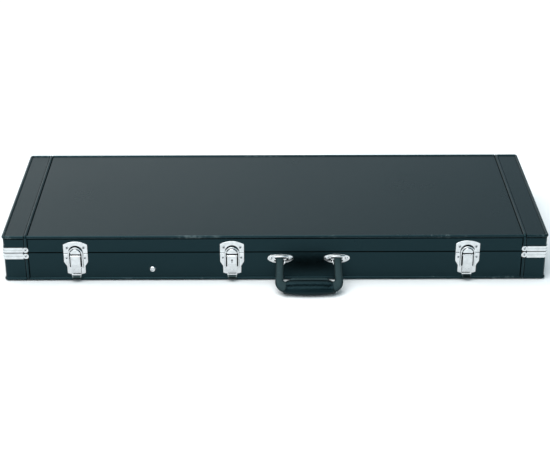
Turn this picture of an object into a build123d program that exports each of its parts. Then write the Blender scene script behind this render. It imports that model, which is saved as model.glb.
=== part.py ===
from build123d import *
import os

# Rectangular hardshell case for an electric guitar, in millimetres.
# X runs along the case (+X towards the body of the guitar), -Y is the front with the latches and
# the handle, +Y the hinge side, and Z is up. The origin is the centre of the flat bottom face.
# The piping stands below that face, so the case lies on its piping.

# ---- driving dimensions ----
LENGTH = 1028.0          # over the vinyl
WIDTH = 378.0
HEIGHT = 90.0
SEAM = 57.0              # height of the joint between base and lid
SEAM_GAP = 0.6
VINYL = 1.0
PLY = 6.0
CORNER_R = 5.0           # vertical corners, over the vinyl
BEAD_R = 3.0             # piping cord
BEAD_PROUD = 2.0
END_BEAD_PROUD = 3.0      # the cords over the end-cap seams stand highest, so the case rests on them
END_BEAD_TURN = 4.0       # radius of an end cord's centre line over the edge
BAND = 471.0             # X of the piping that joins the end caps to the middle
WALL = VINYL + PLY
LINING = 5.0
LINING_GAP = 0.5
FLOOR_PAD = 8.0
LIP = 7.0                # the base lining stands this far above the seam
LID_PAD = 6.0
LID_SIDE_PAD = 4.0

HX, HY = LENGTH / 2, WIDTH / 2
FRONT, REAR = -HY, HY
BEAD_IN = BEAD_R - BEAD_PROUD            # the cord's centre lies this deep in the edge
CORD_ROOM = BEAD_IN + BEAD_R + 0.4       # the panels and flat sheets stop this far from the vinyl
BASE_TOP = SEAM - SEAM_GAP / 2
LID_BOTTOM = SEAM + SEAM_GAP / 2
FLOOR_Z = WALL + FLOOR_PAD               # top of the floor pad

# ---- latches ----
LATCHES = {"left": -378.0, "centre": -82.0, "right": 364.5}
PLATE_T = 1.0
PLATE_HW = 22.75
PLATE_TOP_Z = 80.3
PLATE_SHOULDER_Z = 74.2
PLATE_WAIST_Z = 37.2
PLATE_NARROW_Z = 28.0
PLATE_NARROW_HW = 17.3
PLATE_FOOT_Z = 13.4
PLATE_BOTTOM_Z = 10.3
CATCH_BOTTOM_Z = 55.8                    # the lid's plate hangs a little over the seam
PLATE_MEET_Z = 54.6                      # top edge of the base's plate
WIRE_R = 1.35
BAIL_HW = 12.6
BAIL_P = 4.2                             # how far the wire's centre is off the case
BAIL_PIVOT_Z = 27.5
BAIL_TOP_Z = 68.3
DOME_HW = 9.4
DOME_BOTTOM_Z = 56.2
DOME_P = 7.0
PIVOT_Z, PIVOT_P = 51.3, 5.6
KNUCKLE_R = 2.9
LEVER_HW = 9.2
LEVER_T = 1.0
PIN_R = 1.1
EAR_IN, EAR_T, EAR_R = 6.4, 1.0, 2.1
RIVET_R = 2.7
SMALL_RIVET_R = 2.1
RAIL_U = (14.3, 15.1)                    # raised edges beside the bail's legs
UPPER_RIVET = (15.6, 67.6)               # offset from the latch's middle, height
LOWER_RIVET = (17.4, 45.6)

# ---- corner clamps ----
CLAMP_T = 1.6
CLAMP_LEG = 42.0                         # from the corner to the middle of the ear
CLAMP_EAR_R = 5.4
BASE_CLAMP_Z = (44.0, 56.2)
LID_CLAMP_Z = (57.8, 68.0)

# ---- handle ----
HANDLE_X = 63.2
HANDLE_HALF = 53.6                       # from the middle of the handle to each bracket
STRAP_HALF = 55.0                        # from the middle to the middle of each strap
AXLE_Z, AXLE_P, AXLE_R = 43.8, 5.6, 1.5
FLANGE_T = 1.2
HANDLE_REST = 58.0                       # degrees that the grip stands out from hanging straight down
GRIP_S = 61.0                            # from the axle to the middle of the grip
GRIP_HALF_LEN = 47.0
GRIP_A, GRIP_B = 15.6, 12.0              # half sizes: in the handle's plane, and through it
STRAP_W, STRAP_T = 15.0, 5.0
STRAP_TOP = -6.5                         # the strap's upper ends, below the axle

# ---- hinges ----
HINGES = (-370.0, 0.0, 370.0)
HINGE_P = 3.4                            # the pin's distance from the rear face
HINGE_BARREL_R = 3.2
HINGE_PIN_R = 1.3
HINGE_HALF = 25.0
LEAF_T = 1.5
LEAF_H = 24.0
LEAF_RIVETS = (-17.0, 0.0, 17.0)

SIDE_SCREW = (-233.4, 20.6)              # X and height of the screw with the cup washer

# ---- inside ----
BOX_X = (-340.0, -108.0)                 # open accessory tray, outside
BOX_Y = (-176.0, -50.0)
BOX_T = 4.0
BOX_TOP = 48.0
CRADLE_TOP = 54.0
BAY_END_X = 487.0
INSIDE_X = HX - WALL - LINING - LINING_GAP
INSIDE_Y = HY - WALL - LINING - LINING_GAP
CRADLE_X = (-70.0, INSIDE_X)


# ---- helpers ----
def block(x, y, z):
    """A box between two X, two Y and two Z values."""
    size = [b - a for a, b in (x, y, z)]
    middle = [(a + b) / 2 for a, b in (x, y, z)]
    return Pos(*middle) * Box(*size)


def rod_x(x, y, z, r):
    return Pos((x[0] + x[1]) / 2, y, z) * Rot(0, 90, 0) * Cylinder(r, x[1] - x[0])


def rod_y(x, y, z, r):
    return Pos(x, (y[0] + y[1]) / 2, z) * Rot(90, 0, 0) * Cylinder(r, y[1] - y[0])


def rod_z(x, y, z, r):
    return Pos(x, y, (z[0] + z[1]) / 2) * Cylinder(r, z[1] - z[0])


def front_plane(x=0.0, p=0.0):
    """Sketch plane on the front face: local X is X, local Y is Z, and its normal points out of the case."""
    return Plane(origin=(x, FRONT - p, 0), x_dir=(1, 0, 0), z_dir=(0, -1, 0))


def side_pad(sketch, x):
    """A sketch drawn in (distance from the front face, height) made solid between two X values."""
    plane = Plane(origin=(x[1], FRONT, 0), x_dir=(0, -1, 0), z_dir=(-1, 0, 0))
    return extrude(plane * sketch, amount=x[1] - x[0])


def pad(sketch, x, p0, p1):
    """A sketch drawn in (offset, height) made solid between two distances from the front face."""
    return extrude(front_plane(x, p0) * sketch, amount=p1 - p0)


def mirrored_outline(points):
    """A closed face from its right-hand half, given as points from the bottom middle to the top middle."""
    left = [(-u, z) for u, z in reversed(points) if abs(u) > 1e-9]
    return make_face(Polyline(*points, *left, close=True))


def ring(offset, z, inner_offset=0.0):
    """The wall between two rounded rectangles that lie outside the vinyl by the two offsets."""
    outer = RectangleRounded(LENGTH + 2 * offset, WIDTH + 2 * offset, CORNER_R + offset)
    inner = RectangleRounded(
        LENGTH + 2 * inner_offset, WIDTH + 2 * inner_offset, CORNER_R + inner_offset
    )
    return Pos(0, 0, z[0]) * extrude(outer - inner, amount=z[1] - z[0])


def save(name, shape):
    solids = shape if isinstance(shape, (list, tuple)) else [shape]
    parts = [s for item in solids for s in item.solids()]
    export_step(parts[0] if len(parts) == 1 else Compound(children=parts), f"parts/{name}.step")


# ---- shell: plywood, vinyl and piping ----
def boards(prefix, z, panel_z):
    """The panel and the four boards of one half of the shell."""
    out_x, out_y = HX - VINYL, HY - VINYL
    in_x, in_y = HX - WALL, HY - WALL
    panel = block((-HX + CORD_ROOM, HX - CORD_ROOM), (-HY + CORD_ROOM, HY - CORD_ROOM), panel_z)
    save(f"{prefix}_panel", panel)
    for name, side in (("front", -1), ("rear", 1)):
        board = block((-out_x, out_x), sorted((side * in_y, side * out_y)), z)
        outer = board.edges().filter_by(Axis.Z).sort_by(Axis.Y)
        save(f"{prefix}_{name}_board", fillet(outer[:2] if side < 0 else outer[-2:], CORNER_R - VINYL))
    for name, side in (("left", -1), ("right", 1)):
        save(f"{prefix}_{name}_board", block(sorted((side * in_x, side * out_x)), (-in_y, in_y), z))


def vinyl(prefix, z, sheet_z):
    """The middle covering and the two end caps of one half; the piping fills the gaps between them."""
    mid = (-BAND + BEAD_R, BAND - BEAD_R)
    flat_y = (-HY + CORD_ROOM, HY - CORD_ROOM)
    save(
        f"{prefix}_covering",
        [
            block(mid, (FRONT, FRONT + VINYL), z),
            block(mid, (REAR - VINYL, REAR), z),
            block(mid, flat_y, sheet_z),
        ],
    )
    wrap = ring(0.0, z, -VINYL)
    for name, side in (("left", -1), ("right", 1)):
        reach = sorted((side * (BAND + BEAD_R), side * (HX + 1)))
        flat_x = sorted((side * (BAND + BEAD_R), side * (HX - CORD_ROOM)))
        save(
            f"{prefix}_end_cap_{name}",
            [wrap & block(reach, (FRONT - 1, REAR + 1), z), block(flat_x, flat_y, sheet_z)],
        )


def edge_bead(name, z):
    """The cord round the edge of the bottom or the top, open where the end cords cross it."""
    x, y = HX - BEAD_IN, HY - BEAD_IN
    turn = CORNER_R - BEAD_IN
    runs = [rod_y(s * x, (-y + turn, y - turn), z, BEAD_R) for s in (-1, 1)]
    for s in (-1, 1):
        stretches = ((-x + turn, -BAND - BEAD_R), (-BAND + BEAD_R, BAND - BEAD_R), (BAND + BEAD_R, x - turn))
        runs += [rod_x(stretch, s * y, z, BEAD_R) for stretch in stretches]
    section = Plane.XZ * Pos(turn, 0) * Circle(BEAD_R)
    for k, (sx, sy) in enumerate(((1, 1), (-1, 1), (-1, -1), (1, -1))):
        quarter = revolve(section, Axis.Z, 90)
        runs.append(Pos(sx * (x - turn), sy * (y - turn), z) * Rot(0, 0, 90 * k) * quarter)
    save(name, runs)


def end_beads(name, z_wall, z_flat):
    """The cords over the end-cap seams: from the clamps over the edge, across the flat face and down the rear."""
    depth = BEAD_R - END_BEAD_PROUD
    y = HY - depth
    up = z_flat > SEAM
    z_mid = z_flat - depth if up else z_flat + depth
    inward = -1 if up else 1
    wall_end = z_mid + inward * END_BEAD_TURN
    ply = block((-HX, HX), (-HY + VINYL, HY - VINYL), (WALL, HEIGHT - WALL))
    ply += block((-HX, HX), (-HY + CORD_ROOM, HY - CORD_ROOM), (VINYL, HEIGHT - VINYL))
    cords = []
    for x in (-BAND, BAND):
        flat = (-y + END_BEAD_TURN, y - END_BEAD_TURN)
        cord = rod_y(x, flat, z_mid, BEAD_R)
        for s in (-1, 1):
            cord += rod_z(x, s * y, sorted((wall_end, z_wall)), BEAD_R)
            middle = (x, s * (y - END_BEAD_TURN), wall_end)
            quarter = revolve(Pos(x, s * y, wall_end) * Circle(BEAD_R), Axis(middle, (-s * inward, 0, 0)), 90)
            cord += quarter
        cords.append(cord - ply)
    save(name, cords)


# ---- corner clamps ----
def clamps(name, z):
    """Four chrome strips bent round the corners at the seam, each with a round ear at both ends."""
    height = z[1] - z[0]
    mid_z = (z[0] + z[1]) / 2
    strip = ring(CLAMP_T, z)
    groove = ring(CLAMP_T + 1, (mid_z - 0.6, mid_z + 0.6), CLAMP_T - 0.5)
    strip = strip - groove
    neck = CLAMP_LEG - CLAMP_EAR_R + 0.6
    made = []
    for sx in (-1, 1):
        for sy in (-1, 1):
            reach_x = sorted((sx * (HX - neck), sx * (HX + 9)))
            reach_y = sorted((sy * (HY - neck), sy * (HY + 9)))
            corner = block(reach_x, reach_y, z)
            ear_x = sx * (HX - CLAMP_LEG)
            ear_y = sy * (HY - CLAMP_LEG)
            face_y, face_x = sy * HY, sx * HX
            ears = rod_y(ear_x, sorted((face_y, face_y + sy * CLAMP_T)), mid_z, CLAMP_EAR_R)
            ears += rod_x(sorted((face_x, face_x + sx * CLAMP_T)), ear_y, mid_z, CLAMP_EAR_R)
            ears = ears & block((-HX - 9, HX + 9), (-HY - 9, HY + 9), (mid_z - height / 2, mid_z + height / 2))
            made.append((strip & corner) + ears)
    save(name, made)


def dome(r, h):
    """A rivet head or screw head that stands on Z = 0."""
    ball = (r * r + h * h) / (2 * h)
    return (Pos(0, 0, h - ball) * Sphere(ball)) & (Pos(0, 0, h / 2) * Cylinder(r, h))


def head_front(x, z, p, r=RIVET_R, h=1.1):
    return Pos(x, FRONT - p, z) * Rot(90, 0, 0) * dome(r, h)


def clamp_heads(z):
    """Rivet heads on the eight ears of one half's clamps."""
    mid_z = (z[0] + z[1]) / 2
    heads = []
    for sx in (-1, 1):
        for sy in (-1, 1):
            ear_x, ear_y = sx * (HX - CLAMP_LEG), sy * (HY - CLAMP_LEG)
            heads.append(Pos(ear_x, sy * (HY + CLAMP_T), mid_z) * Rot(-sy * 90, 0, 0) * dome(2.9, 1.2))
            heads.append(Pos(sx * (HX + CLAMP_T), ear_y, mid_z) * Rot(0, sx * 90, 0) * dome(2.9, 1.2))
    return heads


# ---- latches ----
def catch_plate(name, x):
    """Upper latch plate on the lid, with the arched hook that the wire bail pulls on."""
    bottom = CATCH_BOTTOM_Z
    edge = Polyline(
        (-PLATE_HW, PLATE_SHOULDER_Z), (-PLATE_HW, bottom), (PLATE_HW, bottom), (PLATE_HW, PLATE_SHOULDER_Z)
    )
    top = ThreePointArc((PLATE_HW, PLATE_SHOULDER_Z), (0, PLATE_TOP_Z), (-PLATE_HW, PLATE_SHOULDER_Z))
    outline = make_face(edge + top)
    outline = fillet(outline.vertices().sort_by(Axis.Y)[-2:], 1.6)
    plate = pad(outline, x, 0, PLATE_T)
    rim = plate.faces().sort_by(Axis.Y)[0].edges()
    plate = chamfer(rim, 0.35) - block((x - 30, x + 30), (FRONT - 0.3, FRONT + 1), (50, SEAM + 0.5))
    window_r = BAIL_HW + 0.6
    window_c = BAIL_TOP_Z + WIRE_R + 2.4 - window_r
    window = Pos(0, window_c) * Circle(window_r) + Pos(0, (window_c + bottom + 2.2) / 2) * Rectangle(
        2 * window_r, window_c - bottom - 2.2
    )
    window = window & Pos(0, 100 + bottom + 2.2) * Rectangle(200, 200)
    plate = plate - pad(window, x, -1, PLATE_T + 1)
    dome_top = BAIL_TOP_Z - WIRE_R - 0.3
    sides = Polyline((DOME_HW, 58.0), (DOME_HW, DOME_BOTTOM_Z), (-DOME_HW, DOME_BOTTOM_Z), (-DOME_HW, 58.0))
    hook = make_face(sides + ThreePointArc((-DOME_HW, 58.0), (0, dome_top), (DOME_HW, 58.0)))
    hook = pad(hook, x, PLATE_T + 0.2, DOME_P)
    hook = chamfer(hook.faces().sort_by(Axis.Y)[0].edges(), 0.7)
    root = block((x - DOME_HW + 1, x + DOME_HW - 1), (FRONT - DOME_P + 1.5, FRONT), (SEAM + 0.6, SEAM + 3.2))
    rib = pad(Pos(0, dome_top - 3.2) * Ellipse(1.3, 2.4), x, DOME_P - 0.3, DOME_P + 0.35)
    save(name, plate + hook + root + rib)


def base_plate(name, x, has_lock):
    """Lower latch plate on the base, with two ears that carry the lever's pin."""
    top = PLATE_MEET_Z
    right = Polyline(
        (PLATE_NARROW_HW, PLATE_FOOT_Z),
        (PLATE_NARROW_HW, PLATE_NARROW_Z),
        (PLATE_HW, PLATE_WAIST_Z),
        (PLATE_HW, top),
        (-PLATE_HW, top),
        (-PLATE_HW, PLATE_WAIST_Z),
        (-PLATE_NARROW_HW, PLATE_NARROW_Z),
        (-PLATE_NARROW_HW, PLATE_FOOT_Z),
    )
    foot = ThreePointArc(
        (-PLATE_NARROW_HW, PLATE_FOOT_Z), (0, PLATE_BOTTOM_Z), (PLATE_NARROW_HW, PLATE_FOOT_Z)
    )
    outline = make_face(right + foot)
    by_height = outline.vertices().sort_by(Axis.Y)
    outline = fillet(by_height[:2], 1.8)
    outline = fillet([v for v in outline.vertices() if abs(v.Y - PLATE_WAIST_Z) < 0.01], 4.0)
    outline = fillet([v for v in outline.vertices() if abs(v.Y - PLATE_NARROW_Z) < 0.01], 6.0)
    plate = pad(outline, x, 0, PLATE_T)
    plate = chamfer(plate.faces().sort_by(Axis.Y)[0].edges(), 0.35)
    rail = block(RAIL_U, (FRONT - 1.9, FRONT - 0.5), (24.0, 53.0))
    plate = plate + Pos(x, 0, 0) * rail + Pos(x, 0, 0) * mirror(rail, Plane.YZ)
    for s in (-1, 1):
        ear_x = sorted((x + s * EAR_IN, x + s * (EAR_IN + EAR_T)))
        ear = rod_x(ear_x, FRONT - PIVOT_P, PIVOT_Z, EAR_R)
        web = [(PIVOT_P, -2.05), (PIVOT_P - 1.2, 1.7), (0.5, -1.8), (0.5, -4.8), (2.6, -4.8)]
        ear += side_pad(make_face(Polyline(*[(p, PIVOT_Z + h) for p, h in web], close=True)), ear_x)
        plate = plate + (ear - rod_x((x - 20, x + 20), FRONT - PIVOT_P, PIVOT_Z, PIN_R))
    if has_lock:
        post = block((x + 2.6, x + 3.8), (FRONT - 5.6, FRONT - 0.5), (38.0, 43.0))
        beak = block((x + 1.2, x + 2.7), (FRONT - 5.6, FRONT - 4.6), (38.0, 43.0))
        plate = plate + post + beak
    save(name, plate)


def lever_profile():
    """The lever's side view as (distance from the case, height): a plate that dips to a curled finger tab."""
    outer = [(8.5, PIVOT_Z), (8.5, 34.4), (7.7, 34.0), (5.4, 20.0)]
    outer += [(3.4, 12.6), (3.9, 9.2), (6.4, 6.6), (9.6, 5.4)]
    inner = [(9.2, 4.5), (5.8, 5.6), (2.9, 8.8), (2.3, 12.7)]
    inner += [(4.4, 20.2), (6.7, 34.4), (7.5, 35.2), (7.5, PIVOT_Z)]
    return make_face(Polyline(*outer, *inner, close=True))


def lever(name, x, has_lock):
    """Draw lever: a channel that turns on the pin, with a raised cover plate and a finger tab."""
    body = side_pad(lever_profile(), (x - LEVER_HW, x + LEVER_HW))
    tab = [(-LEVER_HW, 60), (-LEVER_HW, 10.5), (-7.0, 4.0), (7.0, 4.0), (LEVER_HW, 10.5), (LEVER_HW, 60)]
    body = body & pad(make_face(Polyline(*tab, close=True)), x, 0, 20)
    knuckle = rod_x((x - LEVER_HW, x + LEVER_HW), FRONT - PIVOT_P, PIVOT_Z, KNUCKLE_R)
    body = body + knuckle
    flange_points = [(7.9, 50.0), (7.9, 34.4), (5.0, 20.5), (3.2, 21.5), (2.0, 26.0), (2.0, 34.0)]
    flange_face = make_face(Polyline(*flange_points, (2.6, 46.0), (2.6, 50.0), close=True))
    for s in (-1, 1):
        body = body + side_pad(flange_face, sorted((x + s * LEVER_HW, x + s * (LEVER_HW - LEVER_T))))
        slot = sorted((x + s * (EAR_IN - 0.25), x + s * (EAR_IN + EAR_T + 0.25)))
        body = body - rod_x(slot, FRONT - PIVOT_P, PIVOT_Z, EAR_R + 0.25)
        body = body - block(slot, (FRONT - PIVOT_P, FRONT - 1.5), (PIVOT_Z - 5.2, PIVOT_Z + 3.2))
        body = body - block(slot, (FRONT - 8.3, FRONT - 1.5), (PIVOT_Z + 1.3, PIVOT_Z + 3.2))
    body = body - rod_x((x - 20, x + 20), FRONT - PIVOT_P, PIVOT_Z, PIN_R + 0.05)
    body = body - rod_x((x - 20, x + 20), FRONT - BAIL_P, BAIL_PIVOT_Z, WIRE_R - 0.3 + 0.06)
    cover = pad(Pos(0, 44.0) * RectangleRounded(16.6, 18.4, 1.2), x, 8.4, 9.1)
    cover = chamfer(cover.faces().sort_by(Axis.Y)[0].edges(), 0.4)
    body = body + cover
    for u in (-3.5, 3.5):
        body = body - Pos(x + u, FRONT - 6.35, 22.6) * Sphere(1.1)
    if has_lock:
        keyhole = Pos(0, 44.4) * Circle(1.75) + Pos(0, 41.4) * Rectangle(1.7, 5.6)
        body = body - pad(keyhole, x, 7.0, 10.0)
    save(name, body)


def bail(name, x):
    """Wire loop over the hook: an arch, two legs and two ends turned in to the lever's holes."""
    arch_z = BAIL_TOP_Z - BAIL_HW
    y = FRONT - BAIL_P
    legs = [rod_z(x + s * BAIL_HW, y, (BAIL_PIVOT_Z, arch_z), WIRE_R) for s in (-1, 1)]
    section = Pos(x + BAIL_HW, y, arch_z) * Circle(WIRE_R)
    arch = revolve(section, Axis((x, y, arch_z), (0, -1, 0)), 180)
    if arch.bounding_box().max.Z < arch_z + 1:
        arch = revolve(section, Axis((x, y, arch_z), (0, 1, 0)), 180)
    loop = arch + legs[0] + legs[1]
    tip = LEVER_HW - LEVER_T - 0.8
    for s in (-1, 1):
        loop += Pos(x + s * BAIL_HW, y, BAIL_PIVOT_Z) * Sphere(WIRE_R)
        loop += rod_x(sorted((x + s * tip, x + s * BAIL_HW)), y, BAIL_PIVOT_Z, WIRE_R - 0.3)
    save(name, loop)


def lock_bolt(x):
    """Flat bolt behind the keyhole; turned by a key, it slides towards +X under the base plate's beak."""
    body = pad(Pos(-1.8, 41.0) * Rectangle(5.0, 9.0), x, 5.9, 6.9)
    nose = pad(Pos(-1.7, 40.5) * Rectangle(4.8, 4.0), x, 3.2, 4.2)
    web = pad(Pos(-3.4, 40.5) * Rectangle(1.4, 4.0), x, 3.2, 6.9)
    save("lock_bolt", body + nose + web)


# ---- handle ----
def bracket(name, x):
    """Chrome hood for one end of the handle: a flange with two screw lobes, and an arch over the axle."""
    right = [(10.0, 34.2), (17.5, 36.6), (22.8, 40.0), (24.4, 43.6), (22.6, 48.2), (17.0, 50.6), (8.0, 51.8)]
    outline = make_face(
        Polyline((-10.0, 34.2), (10.0, 34.2))
        + Spline(*right, (0.0, 52.2), *[(-u, z) for u, z in reversed(right)])
    )
    flange = pad(outline, x, 0, FLANGE_T)
    sections = ((1.0, 44.4, 14.4, 9.8), (6.4, 45.2, 13.2, 8.8), (10.2, 45.8, 11.4, 6.6))
    hood = loft([front_plane(x, p) * Pos(0, z) * Ellipse(a, b) for p, z, a, b in sections])
    hollow = [(-0.5, 30.0), (14.0, 30.0), (14.0, 47.6), (9.0, 47.6), (7.4, 49.8), (3.6, 51.4), (-0.5, 51.6)]
    body = flange + hood - side_pad(make_face(Polyline(*hollow, close=True)), (x - 9.9, x + 9.9))
    body = body + rod_x((x - 10.6, x + 10.6), FRONT - AXLE_P, AXLE_Z, AXLE_R)
    save(name, body)


def in_handle(shape):
    """Turns what is modelled hanging straight down from the axle into the resting pose."""
    return Pos(0, FRONT - AXLE_P, AXLE_Z) * Rot(-HANDLE_REST, 0, 0) * Pos(HANDLE_X, 0, 0) * shape


def handle():
    """Flat strap bent to a U, the padded grip round its middle, and the metal end loops."""
    plane = Plane(origin=(0, 0, 0), x_dir=(1, 0, 0), z_dir=(0, -1, 0))
    top = STRAP_TOP
    mid = STRAP_HALF
    half = STRAP_W / 2
    outer = make_face(
        Polyline(
            (-mid - half, top),
            (-mid - half - 1.5, -GRIP_S + 16),
            (-mid + 3, -GRIP_S - half),
            (mid - 3, -GRIP_S - half),
            (mid + half + 1.5, -GRIP_S + 16),
            (mid + half, top),
            (mid - half, top),
            (mid - half + 1.0, -GRIP_S + half + 4),
            (mid - half - 3.0, -GRIP_S + half),
            (-mid + half + 3.0, -GRIP_S + half),
            (-mid + half - 1.0, -GRIP_S + half + 4),
            (-mid + half, top),
            close=True,
        )
    )
    low = [v for v in outer.vertices() if v.Y < -GRIP_S - half + 0.1]
    outer = fillet(low, 12.0)
    outer = fillet([v for v in outer.vertices() if abs(v.Y + GRIP_S - 16) < 0.1], 14.0)
    strap = extrude(plane * outer, amount=STRAP_T / 2, both=True)
    strap = fillet(strap.faces().filter_by(Axis.Y).edges(), 1.2)
    grip = grip_solid()
    save("handle_strap", in_handle(strap - grip))
    save("handle_grip", in_handle(grip))
    loops = []
    for s in (-1, 1):
        x = s * HANDLE_HALF
        eye = rod_x((x - 8.5, x + 8.5), 0, 0, AXLE_R + 1.4) + block((x - 7.0, x + 7.0), (-1.0, 1.0), (-6.4, 0))
        eye = eye - rod_x((x - 20, x + 20), 0, 0, AXLE_R + 0.15)
        loops.append(in_handle(eye))
    save("handle_end_loops", loops)


def grip_solid():
    """Barrel-shaped grip, thickest in the middle."""
    sections = []
    for t, f in ((-1.0, 0.80), (-0.55, 0.95), (0.0, 1.0), (0.55, 0.95), (1.0, 0.80)):
        plane = Plane(origin=(t * GRIP_HALF_LEN, 0, -GRIP_S), x_dir=(0, 1, 0), z_dir=(1, 0, 0))
        sections.append(plane * Ellipse(GRIP_B * f, GRIP_A * f))
    return loft(sections)


# ---- hinges ----
def leaf_plate(x, low, high, notch):
    """One leaf on the rear face, cut back where the other leaf's knuckles turn."""
    plate = block((x - HINGE_HALF, x + HINGE_HALF), (REAR, REAR + LEAF_T), (low, high))
    for a, b, z0, z1 in notch:
        plate = plate - block((x + a, x + b), (REAR - 1, REAR + LEAF_T + 1), (z0, z1))
    return plate


def knuckle(x, a, b, up):
    """A barrel on the pin's line with a web back to its leaf."""
    y = REAR + HINGE_P
    web_z = (SEAM, SEAM + 4.5) if up else (SEAM - 4.5, SEAM)
    tube = rod_x((x + a, x + b), y, SEAM, HINGE_BARREL_R)
    return tube + block((x + a, x + b), (REAR + 0.2, REAR + LEAF_T), web_z)


def hinges():
    base_leaves, lid_leaves, pins = [], [], []
    gap = HINGE_BARREL_R + 0.5
    mid = 8.5
    for x in HINGES:
        bore = rod_x((x - 30, x + 30), REAR + HINGE_P, SEAM, HINGE_PIN_R + 0.05)
        low = leaf_plate(x, SEAM - LEAF_H, SEAM - 0.8, [(-mid - 0.4, mid + 0.4, SEAM - gap, SEAM)])
        low = low + knuckle(x, -HINGE_HALF, -mid - 0.2, False) + knuckle(x, mid + 0.2, HINGE_HALF, False)
        base_leaves.append(low - bore)
        sides = [(-30, -mid + 0.2, SEAM, SEAM + gap), (mid - 0.2, 30, SEAM, SEAM + gap)]
        high = leaf_plate(x, SEAM + 0.8, SEAM + LEAF_H, sides)
        high = high + knuckle(x, -mid + 0.2, mid - 0.2, True)
        lid_leaves.append(high - bore)
        shaft = rod_x((x - HINGE_HALF, x + HINGE_HALF), REAR + HINGE_P, SEAM, HINGE_PIN_R)
        pins.append(shaft)
    save("hinge_base_leaves", base_leaves)
    save("hinge_lid_leaves", lid_leaves)
    save("hinge_pins", pins)


def leaf_heads(z):
    """Rivet heads on the hinge leaves of one half."""
    return [
        Pos(x + u, REAR + LEAF_T, z) * Rot(-90, 0, 0) * dome(2.6, 1.1) for x in HINGES for u in LEAF_RIVETS
    ]


def rear_feet(name, z):
    """Rubber feet that keep the hinges off the ground when the case stands on its rear edge."""
    foot = Cone(10.0, 8.5, 9.5, align=(Align.CENTER, Align.CENTER, Align.MIN))
    foot = fillet(foot.edges().sort_by(Axis.Z)[-1:], 1.5)
    save(name, [Pos(x, REAR, z) * Rot(-90, 0, 0) * foot for x in (-430.0, 430.0)])


# ---- inside ----
def body_outline():
    """Closed outline of the hollow for the guitar's body, from the neck's end round the lower bout."""
    neck, bout_x, bout_y = 36.0, 385.0, 163.0
    horn = [(-90, neck), (-20, neck + 1), (28, 80), (78, 132), (135, 144)]
    waist = [(215, 124), (285, 140), (340, 157), (bout_x, bout_y)]
    upper = Spline(*horn, *waist)
    ends = Line((-90, neck), (-90, -neck)) + Line((bout_x, bout_y), (bout_x, -bout_y))
    front_part = make_face(upper + mirror(upper, Plane.XZ) + ends)
    return front_part + Pos(bout_x, 0) * Ellipse(BAY_END_X - bout_x, bout_y)


def inside():
    y_in, x_in = INSIDE_Y, INSIDE_X
    out_y, out_x = HY - WALL - LINING_GAP, HX - WALL - LINING_GAP
    save("base_floor_lining", block((-out_x, out_x), (-out_y, out_y), (WALL, FLOOR_Z)))
    wall_z = (FLOOR_Z, SEAM + LIP)
    save(
        "base_wall_lining",
        [
            block((-out_x, out_x), (-out_y, -y_in), wall_z),
            block((-out_x, out_x), (y_in, out_y), wall_z),
            block((-out_x, -x_in), (-y_in, y_in), wall_z),
            block((x_in, out_x), (-y_in, y_in), wall_z),
        ],
    )
    hollow = extrude(body_outline(), amount=CRADLE_TOP + 10)
    for name, side in (("front", -1), ("rear", 1)):
        half = block(CRADLE_X, sorted((side * 0.1, side * y_in)), (FLOOR_Z, CRADLE_TOP)) - hollow
        save(f"body_cradle_{name}", half)
    rest = block((-206, -150), (BOX_Y[1] + 1, y_in), (FLOOR_Z, 50.0))
    notch = rod_x((-220, -140), 0, 50.0 + 4, 34.0)
    save("neck_rest", rest - notch)
    x, y, t = BOX_X, BOX_Y, BOX_T
    z = (FLOOR_Z, BOX_TOP)
    save(
        "accessory_tray",
        [
            block(x, (y[0], y[0] + t), z),
            block(x, (y[1] - t, y[1]), z),
            block((x[0], x[0] + t), (y[0] + t, y[1] - t), z),
            block((x[1] - t, x[1]), (y[0] + t, y[1] - t), z),
        ],
    )
    pad_z = (HEIGHT - WALL - LID_PAD, HEIGHT - WALL)
    side_z = (SEAM + LIP + 2, pad_z[0])
    in_x, in_y = out_x - LID_SIDE_PAD, out_y - LID_SIDE_PAD
    save(
        "lid_lining",
        [
            block((-out_x, out_x), (-out_y, out_y), pad_z),
            block((-out_x, out_x), (-out_y, -in_y), side_z),
            block((-out_x, out_x), (in_y, out_y), side_z),
            block((-out_x, -in_x), (-in_y, in_y), side_z),
            block((in_x, out_x), (-in_y, in_y), side_z),
        ],
    )


# ---- the whole case ----
os.makedirs("parts", exist_ok=True)

boards("base", (WALL, BASE_TOP), (VINYL, WALL))
boards("lid", (LID_BOTTOM, HEIGHT - WALL), (HEIGHT - WALL, HEIGHT - VINYL))
BEAD_TOP = BEAD_IN + BEAD_R
vinyl("base", (BEAD_TOP, BASE_TOP), (0.0, VINYL))
vinyl("lid", (LID_BOTTOM, HEIGHT - BEAD_TOP), (HEIGHT - VINYL, HEIGHT))
edge_bead("base_edge_piping", BEAD_IN)
edge_bead("lid_edge_piping", HEIGHT - BEAD_IN)
end_beads("base_end_piping", BASE_CLAMP_Z[0] - 0.5, 0.0)
end_beads("lid_end_piping", LID_CLAMP_Z[1] + 0.5, HEIGHT)
clamps("base_corner_clamps", BASE_CLAMP_Z)
clamps("lid_corner_clamps", LID_CLAMP_Z)

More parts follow.
